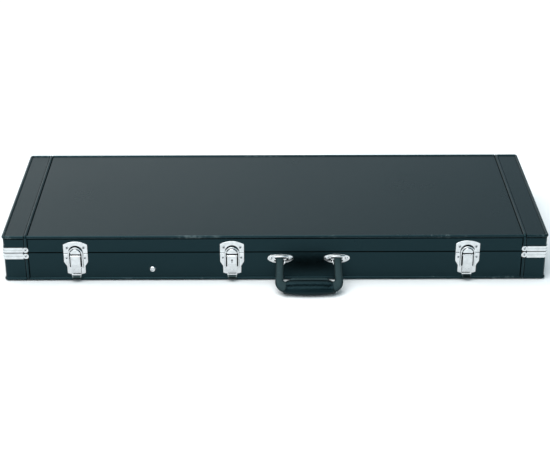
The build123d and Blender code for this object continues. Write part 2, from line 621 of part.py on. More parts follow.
lower_heads, upper_heads, pins = [], [], []
for side, x in LATCHES.items():
    locks = side == "centre"
    catch_plate(f"latch_catch_{side}", x)
    base_plate(f"latch_plate_{side}", x, locks)
    lever(f"latch_lever_{side}", x, locks)
    bail(f"latch_bail_{side}", x)
    pins.append(rod_x((x - 10.4, x + 10.4), FRONT - PIVOT_P, PIVOT_Z, PIN_R))
    upper_heads += [head_front(x + s * UPPER_RIVET[0], UPPER_RIVET[1], PLATE_T) for s in (-1, 1)]
    lower_heads += [head_front(x + s * LOWER_RIVET[0], LOWER_RIVET[1], PLATE_T, SMALL_RIVET_R) for s in (-1, 1)]
save("latch_pins", pins)
lock_bolt(LATCHES["centre"])
save("base_rivets", lower_heads + clamp_heads(BASE_CLAMP_Z) + leaf_heads(SEAM - 14))
save("lid_rivets", upper_heads + clamp_heads(LID_CLAMP_Z) + leaf_heads(SEAM + 14))

screws = []
for side, s in (("left", -1), ("right", 1)):
    x = HANDLE_X + s * HANDLE_HALF
    bracket(f"handle_bracket_{side}", x)
    screws += [head_front(x + u, 43.6, FLANGE_T, 3.0, 1.6) for u in (-18.2, 18.2)]
save("handle_bracket_screws", screws)
handle()

screw_x, screw_z = SIDE_SCREW
on_face = (Align.CENTER, Align.CENTER, Align.MIN)
cup = Cone(5.6, 4.2, 1.8, align=on_face) - Pos(0, 0, 0.6) * Cone(1.2, 3.6, 1.2, align=on_face)
save("side_cup_washer", Pos(screw_x, FRONT, screw_z) * Rot(90, 0, 0) * cup)
save("side_screw", Pos(screw_x, FRONT - 0.6, screw_z) * Rot(90, 0, 0) * Cone(1.15, 3.4, 1.2, align=on_face))

hinges()
rear_feet("base_rear_feet", 17.0)
rear_feet("lid_rear_feet", 74.0)
inside()
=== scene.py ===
"""Looks of the guitar case.

Materials go on the CAD frame. New meshes stand in for its rivets, screws, brackets and handle, and soft
pads for the plush inside. Lengths are in metres where nothing else is said.
"""

import math
import random

import bmesh
import bpy
from mathutils import Matrix, Vector, noise


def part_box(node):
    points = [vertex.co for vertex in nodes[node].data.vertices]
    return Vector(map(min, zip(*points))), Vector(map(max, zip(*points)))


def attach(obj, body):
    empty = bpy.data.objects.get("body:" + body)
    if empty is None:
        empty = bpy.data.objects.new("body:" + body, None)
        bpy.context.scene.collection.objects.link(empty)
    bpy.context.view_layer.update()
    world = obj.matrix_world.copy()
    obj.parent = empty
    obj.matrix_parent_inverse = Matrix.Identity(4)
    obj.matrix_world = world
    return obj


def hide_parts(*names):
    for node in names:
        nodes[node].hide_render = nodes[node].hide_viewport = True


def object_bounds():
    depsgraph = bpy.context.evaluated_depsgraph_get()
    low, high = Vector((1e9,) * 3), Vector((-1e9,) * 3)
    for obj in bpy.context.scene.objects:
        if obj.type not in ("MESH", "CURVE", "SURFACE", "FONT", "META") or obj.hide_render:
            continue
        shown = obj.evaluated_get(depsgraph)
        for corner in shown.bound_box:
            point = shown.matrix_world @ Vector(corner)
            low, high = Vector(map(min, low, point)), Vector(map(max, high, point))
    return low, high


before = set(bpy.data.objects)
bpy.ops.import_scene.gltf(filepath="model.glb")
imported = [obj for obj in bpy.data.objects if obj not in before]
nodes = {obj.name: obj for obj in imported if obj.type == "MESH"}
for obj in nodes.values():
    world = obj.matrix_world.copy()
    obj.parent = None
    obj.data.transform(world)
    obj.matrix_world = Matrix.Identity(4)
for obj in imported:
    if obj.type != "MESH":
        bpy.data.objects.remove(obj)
cad_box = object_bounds()
random.seed(7)
MM = 0.001

# ---------------------------------------------------------------- places taken from the frame
FRONT_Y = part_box("base_covering")[0].y
REAR_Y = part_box("base_covering")[1].y
GROUND_Z = cad_box[0].z


def mid_x(name):
    """The middle of a CAD node along the case."""
    low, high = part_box(name)
    return (low.x + high.x) / 2


LATCH_X = {side: mid_x(f"latch_catch_{side}") for side in ("left", "centre", "right")}
BRACKET_X = {side: mid_x(f"handle_bracket_{side}") for side in ("left", "right")}

# ---------------------------------------------------------------- camera
camera = bpy.data.objects.new("camera", bpy.data.cameras.new("camera"))
bpy.context.scene.collection.objects.link(camera)
camera.location = (-0.0171, -2.5535, 1.2906)
camera.rotation_euler = (math.radians(63.543), 0.0, math.radians(-0.40))
camera.data.lens = 92.2
camera.data.sensor_width = 36.0
camera.data.clip_start, camera.data.clip_end = 0.05, 60.0
bpy.context.scene.camera = camera
bpy.context.scene.view_settings.view_transform = "Standard"


# ---------------------------------------------------------------- material tools
def new_material(name):
    made = bpy.data.materials.new(name)
    made.use_nodes = True
    tree = made.node_tree
    shader = tree.nodes["Principled BSDF"]
    return made, tree, shader


def node(tree, kind, settings=None, **inputs):
    made = tree.nodes.new(kind)
    for key, value in (settings or {}).items():
        setattr(made, key, value)
    for key, value in inputs.items():
        socket = made.inputs[key.replace("_", " ")]
        if isinstance(value, bpy.types.NodeSocket):
            tree.links.new(value, socket)
        else:
            socket.default_value = value
    return made


def ramp(tree, factor, stops):
    made = node(tree, "ShaderNodeValToRGB", Fac=factor)
    band = made.color_ramp
    while len(band.elements) < len(stops):
        band.elements.new(0.5)
    for element, (place, colour) in zip(band.elements, stops):
        element.position = place
        element.color = colour if len(colour) == 4 else (*colour, 1.0)
    return made.outputs["Color"]


def grey(value):
    return (value, value, value)


def math_node(tree, operation, a, b=None, c=None):
    made = tree.nodes.new("ShaderNodeMath")
    made.operation = operation
    for k, value in enumerate((a, b, c)):
        if isinstance(value, bpy.types.NodeSocket):
            tree.links.new(value, made.inputs[k])
        elif value is not None:
            made.inputs[k].default_value = value
    return made.outputs["Value"]


def leather(name, dark, light, tint, level, rough, grain_mm, bump, scuffs=0.0):
    """Grained vinyl: cells of grain_mm with painted shade in their creases, faint cloudy variation, and light
    scuffs where scuffs is above 0.
    """
    made, tree, shader = new_material(name)
    where = node(tree, "ShaderNodeTexCoord").outputs["Object"]
    warp = node(tree, "ShaderNodeTexNoise", Vector=where, Scale=260.0, Detail=2.0)
    shift = node(
        tree,
        "ShaderNodeMixRGB",
        {"blend_type": "LINEAR_LIGHT"},
        Fac=0.0012,
        Color1=where,
        Color2=warp.outputs["Color"],
    )
    cells = node(
        tree,
        "ShaderNodeTexVoronoi",
        {"feature": "DISTANCE_TO_EDGE"},
        Vector=shift.outputs["Color"],
        Scale=1.0 / (grain_mm * MM),
    )
    creases = ramp(tree, cells.outputs["Distance"], [(0.0, grey(0.0)), (0.16, grey(1.0))])
    fine = node(tree, "ShaderNodeTexNoise", Vector=where, Scale=3000.0, Detail=3.0)
    height = math_node(tree, "MULTIPLY_ADD", fine.outputs["Fac"], 0.35, creases)
    clouds = node(tree, "ShaderNodeTexNoise", Vector=where, Scale=14.0, Detail=5.0, Roughness=0.62)
    colour = ramp(tree, clouds.outputs["Fac"], [(0.3, dark), (0.72, light)])
    # Painted shade: the grain's creases darken the colour by half.
    painted_crease_shade = node(tree, "ShaderNodeMixRGB", {"blend_type": "MULTIPLY"}, Fac=0.5, Color1=colour, Color2=creases)
    last = painted_crease_shade.outputs["Color"]
    if scuffs:
        spots = node(tree, "ShaderNodeTexNoise", Vector=where, Scale=170.0, Detail=4.0, Roughness=0.7)
        patches = node(tree, "ShaderNodeTexNoise", Vector=where, Scale=9.0, Detail=2.0)
        both = math_node(tree, "MULTIPLY", spots.outputs["Fac"], patches.outputs["Fac"])
        worn = ramp(tree, both, [(0.33, grey(0.0)), (0.42, grey(1.0))])
        share = math_node(tree, "MULTIPLY", worn, scuffs)
        rubbed = node(tree, "ShaderNodeMixRGB", Fac=share, Color1=last, Color2=(0.16, 0.19, 0.19, 1))
        last = rubbed.outputs["Color"]
    tree.links.new(last, shader.inputs["Base Color"])
    wear = node(tree, "ShaderNodeTexNoise", Vector=where, Scale=7.0, Detail=6.0, Roughness=0.6)
    polish = ramp(tree, wear.outputs["Fac"], [(0.3, grey(rough - 0.05)), (0.7, grey(rough + 0.06))])
    tree.links.new(polish, shader.inputs["Roughness"])
    bumps = node(tree, "ShaderNodeBump", Strength=bump, Distance=0.00012, Height=height)
    tree.links.new(bumps.outputs["Normal"], shader.inputs["Normal"])
    shader.inputs["Specular Tint"].default_value = (*tint, 1.0)
    shader.inputs["Specular IOR Level"].default_value = level
    shader.inputs["IOR"].default_value = 1.5
    return made


def metal(name, colour, rough, spread, brush, painted_tab_x=None):
    """Plated metal with a faintly brushed, slightly uneven polish.

    A lever's finger tab at the given x is painted dark as shade: nearly black inside a rim painted dark grey.
    """
    made, tree, shader = new_material(name)
    where = node(tree, "ShaderNodeTexCoord").outputs["Object"]
    stretched = node(tree, "ShaderNodeMapping", Vector=where, Scale=(1.0, 1.0, 0.05))
    lines = node(tree, "ShaderNodeTexNoise", Vector=stretched.outputs["Vector"], Scale=4200.0, Detail=3.0)
    spots = node(tree, "ShaderNodeTexNoise", Vector=where, Scale=120.0, Detail=5.0)
    polish = ramp(tree, spots.outputs["Fac"], [(0.3, grey(rough)), (0.75, grey(rough + spread))])
    tree.links.new(polish, shader.inputs["Roughness"])
    dull = tuple(c * 0.86 for c in colour)
    tone = ramp(tree, spots.outputs["Fac"], [(0.35, dull), (0.6, colour)])
    if painted_tab_x is not None:
        split = node(tree, "ShaderNodeSeparateXYZ", Vector=where)
        off = math_node(tree, "ABSOLUTE", math_node(tree, "SUBTRACT", split.outputs["X"], painted_tab_x))
        inside = math_node(tree, "LESS_THAN", off, PAINTED_TAB_HALF)
        above = math_node(tree, "GREATER_THAN", split.outputs["Z"], PAINTED_TAB_LOW)
        below = math_node(tree, "LESS_THAN", split.outputs["Z"], PAINTED_TAB_HIGH)
        painted_tab_shade = math_node(tree, "MULTIPLY", inside, math_node(tree, "MULTIPLY", above, below))
        # Painted shade: the lever under the tab's top is painted dark grey as a rim, and the tab's inside
        # nearly black.
        rim = node(tree, "ShaderNodeMixRGB", Fac=below, Color1=tone, Color2=(0.10, 0.12, 0.12, 1))
        dark = node(
            tree, "ShaderNodeMixRGB", Fac=painted_tab_shade, Color1=rim.outputs["Color"], Color2=(0.012, 0.02, 0.021, 1)
        )
        tone = dark.outputs["Color"]
    tree.links.new(tone, shader.inputs["Base Color"])
    bumps = node(tree, "ShaderNodeBump", Strength=brush, Distance=0.00003, Height=lines.outputs["Fac"])
    tree.links.new(bumps.outputs["Normal"], shader.inputs["Normal"])
    shader.inputs["Metallic"].default_value = 1.0
    return made


def plush_material(name, dark, light):
    """Short pile: tufted bump, brushed lighter and darker patches, and a soft sheen."""
    made, tree, shader = new_material(name)
    where = node(tree, "ShaderNodeTexCoord").outputs["Object"]
    pile = node(tree, "ShaderNodeTexNoise", Vector=where, Scale=1500.0, Detail=4.0, Roughness=0.7)
    tufts = node(tree, "ShaderNodeTexVoronoi", Vector=where, Scale=520.0)
    brushed = node(tree, "ShaderNodeTexNoise", Vector=where, Scale=13.0, Detail=5.0, Distortion=0.5)
    mix = math_node(tree, "MULTIPLY_ADD", pile.outputs["Fac"], 0.9, brushed.outputs["Fac"])
    share = math_node(tree, "MULTIPLY", mix, 0.5)
    colour = ramp(tree, share, [(0.32, dark), (0.64, light)])
    tree.links.new(colour, shader.inputs["Base Color"])
    height = math_node(tree, "SUBTRACT", pile.outputs["Fac"], tufts.outputs["Distance"])
    bumps = node(tree, "ShaderNodeBump", Strength=0.7, Distance=0.0006, Height=height)
    tree.links.new(bumps.outputs["Normal"], shader.inputs["Normal"])
    worn = ramp(tree, brushed.outputs["Fac"], [(0.3, grey(0.86)), (0.7, grey(1.0))])
    tree.links.new(worn, shader.inputs["Roughness"])
    shader.inputs["Sheen Weight"].default_value = 0.55
    shader.inputs["Sheen Roughness"].default_value = 0.4
    shader.inputs["Sheen Tint"].default_value = (0.75, 0.8, 0.85, 1.0)
    shader.inputs["Specular IOR Level"].default_value = 0.15
    return made


VENEER_PAIR = 0.0024  # a light and a dark veneer together


def plywood_material(name, across):
    """Laminated board: veneers stacked along one axis, with stretched grain."""
    made, tree, shader = new_material(name)
    where = node(tree, "ShaderNodeTexCoord").outputs["Object"]
    split = node(tree, "ShaderNodeSeparateXYZ", Vector=where)
    turns = math_node(tree, "MULTIPLY", split.outputs[across], 2 * math.pi / VENEER_PAIR)
    layer = math_node(tree, "SINE", turns)
    share = math_node(tree, "MULTIPLY_ADD", layer, 0.5, 0.5)
    step = ramp(tree, share, [(0.40, (0.30, 0.17, 0.075)), (0.60, (0.52, 0.34, 0.17))])
    size = {"X": (90.0, 14.0, 90.0), "Y": (14.0, 90.0, 90.0), "Z": (14.0, 90.0, 90.0)}[across]
    stretched = node(tree, "ShaderNodeMapping", Vector=where, Scale=size)
    grain = node(
        tree, "ShaderNodeTexNoise", Vector=stretched.outputs["Vector"], Scale=6.0, Detail=6.0, Roughness=0.65
    )
    shade = ramp(tree, grain.outputs["Fac"], [(0.3, grey(0.62)), (0.7, grey(1.0))])
    colour = node(tree, "ShaderNodeMixRGB", {"blend_type": "MULTIPLY"}, Fac=0.8, Color1=step, Color2=shade)
    tree.links.new(colour.outputs["Color"], shader.inputs["Base Color"])
    rough = ramp(tree, grain.outputs["Fac"], [(0.3, grey(0.7)), (0.7, grey(0.85))])
    tree.links.new(rough, shader.inputs["Roughness"])
    bumps = node(tree, "ShaderNodeBump", Strength=0.4, Distance=0.0002, Height=grain.outputs["Fac"])
    tree.links.new(bumps.outputs["Normal"], shader.inputs["Normal"])
    return made


def rubber_material(name):
    made, tree, shader = new_material(name)
    where = node(tree, "ShaderNodeTexCoord").outputs["Object"]
    grain = node(tree, "ShaderNodeTexNoise", Vector=where, Scale=900.0, Detail=4.0)
    dust = node(tree, "ShaderNodeTexNoise", Vector=where, Scale=60.0, Detail=4.0)
    colour = ramp(tree, dust.outputs["Fac"], [(0.35, grey(0.008)), (0.75, grey(0.03))])
    tree.links.new(colour, shader.inputs["Base Color"])
    rough = ramp(tree, dust.outputs["Fac"], [(0.3, grey(0.6)), (0.7, grey(0.8))])
    tree.links.new(rough, shader.inputs["Roughness"])
    bumps = node(tree, "ShaderNodeBump", Strength=0.35, Distance=0.0001, Height=grain.outputs["Fac"])
    tree.links.new(bumps.outputs["Normal"], shader.inputs["Normal"])
    return made


# The painted shade on a lever's tab: half the width of its dark part, and the heights where that starts and
# where the painted dark rim begins.
PAINTED_TAB_HALF, PAINTED_TAB_LOW, PAINTED_TAB_HIGH = 7.0 * MM, 4.9 * MM, 10.3 * MM
TEAL = (0.36, 0.84, 1.0)
PLATING = ((0.64, 0.655, 0.665), 0.09, 0.10, 0.25)
VINYL = leather("vinyl", (0.0006, 0.0012, 0.0013), (0.0014, 0.0026, 0.0028), TEAL, 0.335, 0.22, 1.3, 0.25)
PIPING = leather("piping", (0.0008, 0.0016, 0.0018), (0.002, 0.004, 0.0045), TEAL, 0.38, 0.27, 1.0, 0.3, 0.35)
STRAP = leather(
    "handle_leatherette",
    (0.0042, 0.0066, 0.0068),
    (0.008, 0.011, 0.0112),
    (0.46, 0.86, 0.94),
    level=0.36,
    rough=0.42,
    grain_mm=0.9,
    bump=0.45,
    scuffs=0.12,
)
GRIP = leather(
    "grip_leatherette",
    (0.0006, 0.0014, 0.0016),
    (0.0016, 0.003, 0.0034),
    TEAL,
    level=0.24,
    rough=0.36,
    grain_mm=0.9,
    bump=0.45,
    scuffs=0.08,
)
THREAD = leather("thread", (0.008, 0.012, 0.012), (0.016, 0.022, 0.022), TEAL, 0.4, 0.6, 0.5, 0.3)
# Near-black strip finish with almost no reflection: painted shade in creases, gaps and openings.
WELT_SHADE = leather("welt_shade", (0.0004, 0.0007, 0.0007), (0.0008, 0.0014, 0.0014), TEAL, 0.04, 0.85, 0.8, 0.4)
CHROME = metal("chrome", *PLATING)
STEEL = metal("lock_steel", (0.5, 0.5, 0.5), 0.3, 0.15, 0.5)
# Dark steel for the lock bolt, and painted shade for the insides of rivets and screw recesses.
DARK_METAL_AND_RECESS_SHADE = metal("dark_steel_and_recess_shade", (0.11, 0.12, 0.125), 0.42, 0.2, 0.4)
PLUSH = plush_material("plush", (0.010, 0.011, 0.013), (0.045, 0.048, 0.053))
RUBBER = rubber_material("rubber")
PLY = {axis: plywood_material(f"plywood_{axis}", axis) for axis in "XYZ"}

FINISHES = {
    "covering": VINYL,
    "end_cap_left": VINYL,
    "end_cap_right": VINYL,
    "edge_piping": PIPING,
    "end_piping": PIPING,
    "corner_clamps": CHROME,
    "rear_feet": RUBBER,
    "panel": PLY["Z"],
    "front_board": PLY["Y"],
    "rear_board": PLY["Y"],
    "left_board": PLY["X"],
    "right_board": PLY["X"],
    "accessory_tray": PLUSH,
    "lock_bolt": DARK_METAL_AND_RECESS_SHADE,
    "latch_pins": STEEL,
    "hinge_pins": STEEL,
}


def dress(shape, finish):
    """Every material slot of a CAD node gets the finish."""
    if not shape.material_slots:
        shape.data.materials.append(finish)
    for material_slot in shape.material_slots:
        material_slot.material = finish


for name, shape in nodes.items():
    short = name.split("_", 1)[1] if name.startswith(("base_", "lid_")) else name
    dress(shape, FINISHES.get(short, CHROME))
# Each lever gets its own chrome, carrying painted shade on its tab.
for name, shape in nodes.items():
    if name.startswith("latch_lever_"):
        dress(shape, metal(f"chrome_{name}", *PLATING, mid_x(name)))
for name, shape in nodes.items():
    if any(word in name for word in ("covering", "end_cap", "tray")):
        soft_edge = shape.modifiers.new("turned_edge", "BEVEL")
        soft_edge.width = 0.9 * MM if "tray" in name else 0.45 * MM
        soft_edge.segments = 3
        soft_edge.limit_method = "ANGLE"
        soft_edge.angle_limit = math.radians(50)


# ---------------------------------------------------------------- mesh tools
def piece(name, mesh, finish, body, sharp=None, replaced=()):
    """A new shown object that rides on a body and wears the given finish."""
    made = bpy.data.objects.new(name, mesh)
    bpy.context.scene.collection.objects.link(made)
    mesh.materials.clear()
    mesh.materials.append(finish)
    mesh.polygons.foreach_set("use_smooth", [True] * len(mesh.polygons))
    if sharp:
        mesh.set_sharp_from_angle(angle=math.radians(sharp))
    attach(made, body)
    if replaced:
        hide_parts(*replaced)
    return made


def as_mesh(bm, name):
    bmesh.ops.recalc_face_normals(bm, faces=bm.faces)
    mesh = bpy.data.meshes.new(name)
    bm.to_mesh(mesh)
    bm.free()
    return mesh


def lathe(bm, profile, centre, normal, around=28):
    """Turns (radius, height) points round the line through centre along normal."""
    turn = Vector((0, 0, 1)).rotation_difference(Vector(normal)).to_matrix().to_4x4()
    place = Matrix.Translation(centre) @ turn
    rings = []
    for r, h in profile:
        if r < 1e-9:
            rings.append([bm.verts.new(place @ Vector((0, 0, h)))] * around)
            continue
        ring = []
        for k in range(around):
            a = 2 * math.pi * k / around
            ring.append(bm.verts.new(place @ Vector((r * math.cos(a), r * math.sin(a), h))))
        rings.append(ring)
    for low, high in zip(rings, rings[1:]):
        for k in range(around):
            corners = []
            for v in (low[k], low[(k + 1) % around], high[(k + 1) % around], high[k]):
                if v not in corners:
                    corners.append(v)
            if len(corners) > 2:
                bm.faces.new(corners)


def tube_along(bm, points, radius, around=8):
    """A short closed tube along a few points, with rounded ends."""
    rings = []
    count = len(points)
    for k, point in enumerate(points):
        ahead = (points[min(k + 1, count - 1)] - points[max(k - 1, 0)]).normalized()
        side = ahead.orthogonal().normalized()
        up = ahead.cross(side)
        size = radius * (0.45 if k in (0, count - 1) else 1.0)
        rings.append(
            [
                bm.verts.new(point + size * (math.cos(a) * side + math.sin(a) * up))
                for a in (2 * math.pi * j / around for j in range(around))
            ]
        )
    for low, high in zip(rings, rings[1:]):
        for j in range(around):
            bm.faces.new((low[j], low[(j + 1) % around], high[(j + 1) % around], high[j]))
    bm.faces.new(rings[0][::-1])
    bm.faces.new(rings[-1])


# ---------------------------------------------------------------- rivet heads
PLATE_FACE = FRONT_Y - 1.0 * MM
UPPER = (15.6 * MM, 67.6 * MM)  # a latch's rivets: offset from its middle, and height
LOWER = (17.4 * MM, 45.6 * MM)
CLAMP_LEG, CLAMP_T = 42.0, 1.6  # millimetres from a corner to a clamp's rivet, and the clamp's thickness
HINGES = (-0.370, 0.0, 0.370)
LEAF_RIVETS = (-0.017, 0.0, 0.017)
LEAF_T = 1.5 * MM
LEAF_RIVET_Z = {"lid": 0.071, "base": 0.043}


def eyelet(r, h, hole):
    """A tubular rivet: a rolled ring round a sunken middle."""
    mid, roll = (r + hole) / 2, (r - hole) / 2
    rim = [(r, 0.0)]
    for k in range(9):
        a = math.pi * k / 8
        rim.append((mid + roll * math.cos(a), h - roll * 0.8 + roll * 0.8 * math.sin(a)))
    return rim, [(hole + 0.02 * MM, h * 0.55), (hole * 0.94, 0.16 * MM), (0.0, 0.1 * MM)]


def riveting(name, spots, body, replaced):
    shells, core_shades = bmesh.new(), bmesh.new()
    for centre, normal, r, h, hole in spots:
        rim, core = eyelet(r * MM, h * MM, hole * MM)
        lathe(shells, rim, centre, normal)
        # The sunken middle is lathed in dark metal: painted shade in the rivet's hollow.
        lathe(core_shades, core, centre, normal)
    piece(name, as_mesh(shells, name), CHROME, body, 50, replaced)
    piece(f"{name}_cores", as_mesh(core_shades, f"{name}_cores"), DARK_METAL_AND_RECESS_SHADE, body, 40)


def clamp_spots(half):
    """Places and directions of the rivets in the eight ears of one half's corner clamps."""
    low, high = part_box(f"{half}_corner_clamps")
    mid_z = (low.z + high.z) / 2
    ear = (CLAMP_LEG + CLAMP_T) * MM
    found = []
    for sx, x_face in ((-1, low.x), (1, high.x)):
        for sy, y_face in ((-1, low.y), (1, high.y)):
            found.append((Vector((x_face - sx * ear, y_face, mid_z)), (0, sy, 0), 2.9, 1.2, 1.25))
            found.append((Vector((x_face, y_face - sy * ear, mid_z)), (sx, 0, 0), 2.9, 1.2, 1.25))
    return found


def leaf_spots(half):
    """Places and directions of the rivets in one half's hinge leaves."""
    return [
        (Vector((x + u, REAR_Y + LEAF_T, LEAF_RIVET_Z[half])), (0, 1, 0), 2.6, 1.1, 1.0)
        for x in HINGES
        for u in LEAF_RIVETS
    ]


def plate_spots(place, r, h, hole):
    """Places and directions of one rivet on each side of every latch."""
    across, up = place
    return [
        (Vector((x + s * across, PLATE_FACE, up)), (0, -1, 0), r, h, hole)
        for x in LATCH_X.values()
        for s in (-1, 1)
    ]


lid_spots = plate_spots(UPPER, 2.8, 1.1, 1.75) + clamp_spots("lid") + leaf_spots("lid")
base_spots = plate_spots(LOWER, 2.2, 0.9, 1.35) + clamp_spots("base") + leaf_spots("base")
riveting("lid_rivet_heads", lid_spots, "lid", ["lid_rivets"])
riveting("base_rivet_heads", base_spots, "base", ["base_rivets"])


# ---------------------------------------------------------------- dark strips painted as the shade behind the levers
CHANNEL_HALF, CHANNEL_LOW, CHANNEL_HIGH = 13.8, 26.0, 53.8  # millimetres
CHANNEL_SUNK, CHANNEL_PROUD, CHANNEL_TAPER = 0.02 * MM, 0.14 * MM, 0.99
foot, crest = PLATE_FACE + CHANNEL_SUNK, PLATE_FACE - CHANNEL_PROUD
# Painted shade: a dark strip on the plate under each lever, where its channel lies in shade.
channel_shades = bmesh.new()
for x in LATCH_X.values():
    outline = [
        (-CHANNEL_HALF, CHANNEL_LOW),
        (CHANNEL_HALF, CHANNEL_LOW),
        (CHANNEL_HALF, CHANNEL_HIGH),
        (-CHANNEL_HALF, CHANNEL_HIGH),
    ]
    low_ring = [channel_shades.verts.new(Vector((x + u * MM, foot, z * MM))) for u, z in outline]
    high_ring = [channel_shades.verts.new(Vector((x + u * CHANNEL_TAPER * MM, crest, z * MM))) for u, z in outline]
    for j in range(4):
        channel_shades.faces.new((low_ring[j], low_ring[(j + 1) % 4], high_ring[(j + 1) % 4], high_ring[j]))
    channel_shades.faces.new(low_ring[::-1])
    channel_shades.faces.new(high_ring)
piece("latch_channel_shades", as_mesh(channel_shades, "latch_channel_shades"), WELT_SHADE, "base", 30)


# ---------------------------------------------------------------- screws, the shade in each cross recess painted dark
ARM = [(-1, -0.25), (-0.6, -0.36), (0.6, -0.36), (1, -0.25), (1, 0.25), (0.6, 0.36), (-0.6, 0.36), (-1, 0.25)]


def cross_screw(bm, shade_cut, centre, normal, r, h, reach=0.52):
    """A low dome, and a dark cross on its middle, painted shade for the recess, whose arms end at reach times
    the dome's radius.
    """
    profile = [(r, 0.0), (r, 0.25 * h)]
    for k in range(1, 6):
        a = math.pi / 2 * k / 6
        profile.append((r * math.cos(a), 0.25 * h + 0.75 * h * math.sin(a)))
    profile.append((0.0, h))
    lathe(bm, profile, centre, normal, 32)
    normal = Vector(normal)
    side = normal.orthogonal().normalized()
    spin = random.uniform(0.2, 1.3)
    for k in range(2):
        along = side.copy()
        along.rotate(Matrix.Rotation(spin + k * math.pi / 2, 3, normal))
        across = normal.cross(along)
        # The cross is a dark solid set into the dome: painted shade for the recess.
        top = centre + normal * (h * 1.015)
        ring = []
        for u, v in ARM:
            drop = 0.22 * h * u * u
            offset = along * (reach * r * u) + across * (reach * 0.81 * r * v)
            ring.append(shade_cut.verts.new(top + offset - normal * drop))
        low = [shade_cut.verts.new(v.co - normal * (0.5 * h)) for v in ring]
        shade_cut.faces.new(ring)
        shade_cut.faces.new(low[::-1])
        for j in range(8):
            shade_cut.faces.new((ring[j], low[j], low[(j + 1) % 8], ring[(j + 1) % 8]))


BRACKET_SCREW = 18.2 * MM
screws, recess_shades = bmesh.new(), bmesh.new()
low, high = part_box("handle_bracket_screws")
screw_z = (low.z + high.z) / 2
for x in BRACKET_X.values():
    for u in (-BRACKET_SCREW, BRACKET_SCREW):
        cross_screw(screws, recess_shades, Vector((x + u, high.y, screw_z)), (0, -1, 0), 3.0 * MM, 1.6 * MM)
heads = as_mesh(screws, "bracket_screw_heads")
piece("bracket_screw_heads", heads, CHROME, "base", 50, ["handle_bracket_screws"])
piece("bracket_screw_recess_shades", as_mesh(recess_shades, "bracket_screw_recess_shades"), DARK_METAL_AND_RECESS_SHADE, "base", 30)

side_low, side_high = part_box("side_screw")
side_centre = Vector(((side_low.x + side_high.x) / 2, side_high.y, (side_low.z + side_high.z) / 2))
screws, recess_shades = bmesh.new(), bmesh.new()
cross_screw(screws, recess_shades, side_centre, (0, -1, 0), 3.3 * MM, 0.9 * MM, 0.74)
piece("side_screw_head", as_mesh(screws, "side_screw_head"), CHROME, "base", 50, ["side_screw"])
piece("side_screw_recess_shade", as_mesh(recess_shades, "side_screw_recess_shade"), DARK_METAL_AND_RECESS_SHADE, "base", 30)


# ---------------------------------------------------------------- handle brackets
def smooth_loop(points, steps=8):
    """A closed Catmull-Rom curve through the points."""
    found, count = [], len(points)
    for k in range(count):
        a, b, c, d = (Vector(points[(k + j) % count]) for j in (-1, 0, 1, 2))
        for j in range(steps):
            t = j / steps
            square, cube = 2 * a - 5 * b + 4 * c - d, 3 * b - a - 3 * c + d
            found.append(0.5 * (2 * b + (c - a) * t + square * t * t + cube * t**3))
    return found


def on_front(x, u, p, z):
    """A point at offset u from x, p millimetres in front of the case and z millimetres up."""
    return Vector((x + u * MM, FRONT_Y - p * MM, z * MM))


def stacked(bm, rings):
    """Faces between rings of points, with both ends filled."""
    made = [[bm.verts.new(point) for point in ring] for ring in rings]
    size = len(made[0])
    for a, b in zip(made, made[1:]):
        for j in range(size):
            bm.faces.new((a[j], a[(j + 1) % size], b[(j + 1) % size], b[j]))
    bm.faces.new(made[0][::-1])
    bm.faces.new(made[-1])


